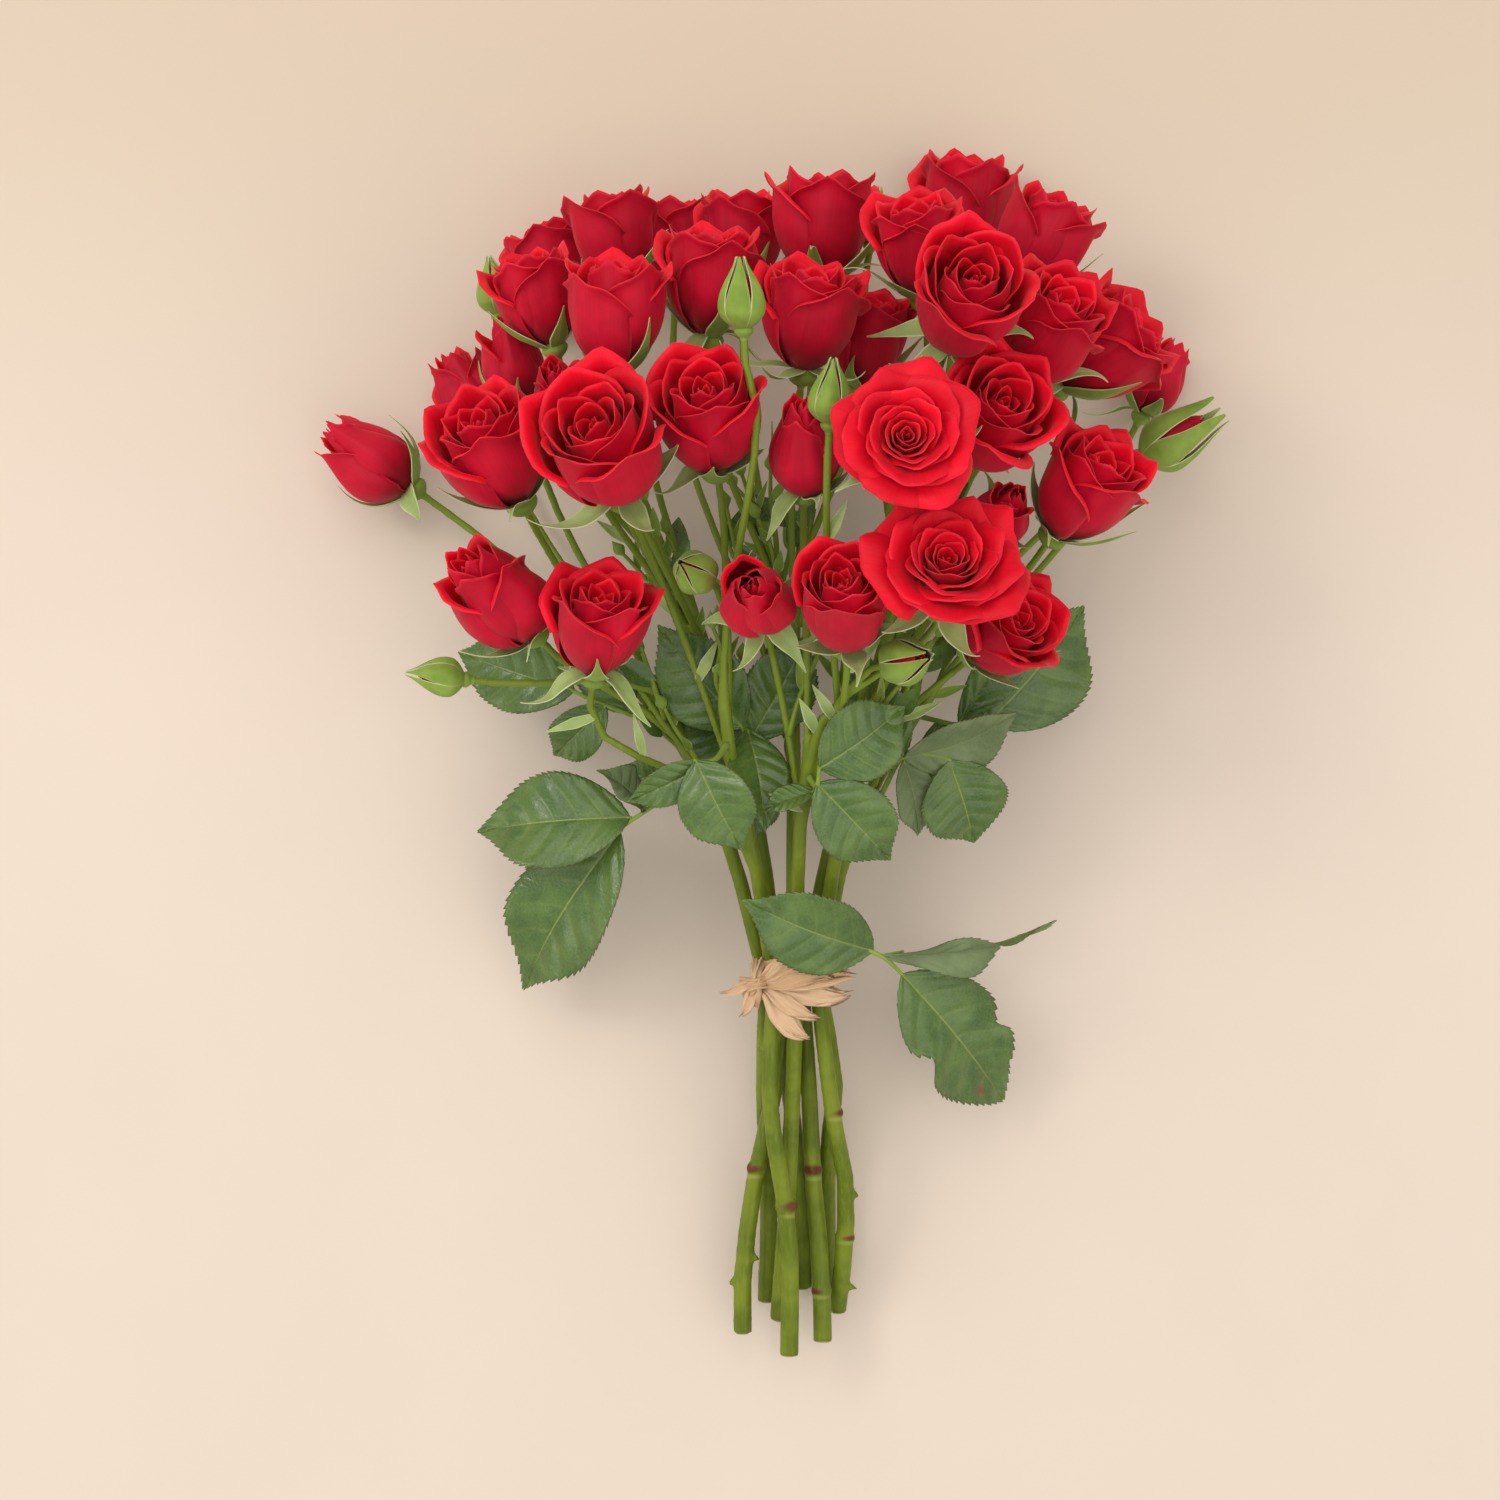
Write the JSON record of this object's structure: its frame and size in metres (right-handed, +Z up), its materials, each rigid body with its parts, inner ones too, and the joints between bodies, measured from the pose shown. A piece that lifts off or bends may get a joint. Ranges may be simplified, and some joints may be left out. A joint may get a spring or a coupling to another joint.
{
  "type": "bunch of roses",
  "caption": "Hand-tied bunch of cut red spray roses, some open and some in green bud, with glossy toothed leaves and long green stems held by one raffia tie, lying on its back",
  "frame": {"origin": "on the table, under the middle of the bunch's box", "axes": "+Y runs along the stems from the cut ends to the flowers, +Z is up from the table, and +X is across the bunch, to the right when it is seen from above with the flowers away from the viewer"},
  "size_m": [0.3618, 0.4884, 0.1858],
  "materials": {
    "stem": "smooth waxy green skin over a firm woody stem, with brown scars where thorns and leaves came off",
    "rose_petals": "soft velvety petals, bright scarlet inside and a duller crimson outside",
    "sepals": "matt light green sepals and hips with pale woolly edges",
    "leaf": "leathery dark green leaf, satin above and paler and matt below, with a yellow-green midrib",
    "raffia": "dry pale tan palm fibre, matt, with fine lengthwise grain"
  },
  "bodies": {
    "root": {"stem_1": "stem", "stem_2": "stem", "stem_3": "stem", "stem_4": "stem", "stem_5": "stem", "stem_6": "stem", "stem_7": "stem", "stem_8": "stem", "closed_rose_1": "rose_petals", "closed_rose_2": "rose_petals", "closed_rose_3": "rose_petals", "closed_rose_4": "rose_petals", "closed_rose_5": "rose_petals", "closed_rose_6": "rose_petals", "closed_rose_7": "rose_petals", "closed_rose_8": "rose_petals", "closed_rose_9": "rose_petals", "half_open_rose_1": "rose_petals", "half_open_rose_2": "rose_petals", "half_open_rose_3": "rose_petals", "half_open_rose_4": "rose_petals", "half_open_rose_5": "rose_petals", "half_open_rose_6": "rose_petals", "half_open_rose_7": "rose_petals", "half_open_rose_8": "rose_petals", "half_open_rose_9": "rose_petals", "half_open_rose_10": "rose_petals", "half_open_rose_11": "rose_petals", "half_open_rose_12": "rose_petals", "half_open_rose_13": "rose_petals", "half_open_rose_14": "rose_petals", "half_open_rose_15": "rose_petals", "half_open_rose_16": "rose_petals", "half_open_rose_17": "rose_petals", "half_open_rose_18": "rose_petals", "half_open_rose_19": "rose_petals", "half_open_rose_20": "rose_petals", "half_open_rose_21": "rose_petals", "half_open_rose_22": "rose_petals", "half_open_rose_23": "rose_petals", "half_open_rose_24": "rose_petals", "open_rose_1": "rose_petals", "open_rose_2": "rose_petals", "green_bud_1": "sepals", "green_bud_2": "sepals", "green_bud_3": "sepals", "green_bud_4": "sepals", "green_bud_5": "sepals", "green_bud_6": "sepals", "green_bud_7": "sepals", "green_bud_8": "sepals", "leaf_1": "leaf", "leaf_2": "leaf", "leaf_3": "leaf", "leaf_4": "leaf", "leaf_5": "leaf", "leaf_6": "leaf", "leaf_7": "leaf", "leaf_8": "leaf", "raffia_tie": "raffia"}
  },
  "joints": []
}
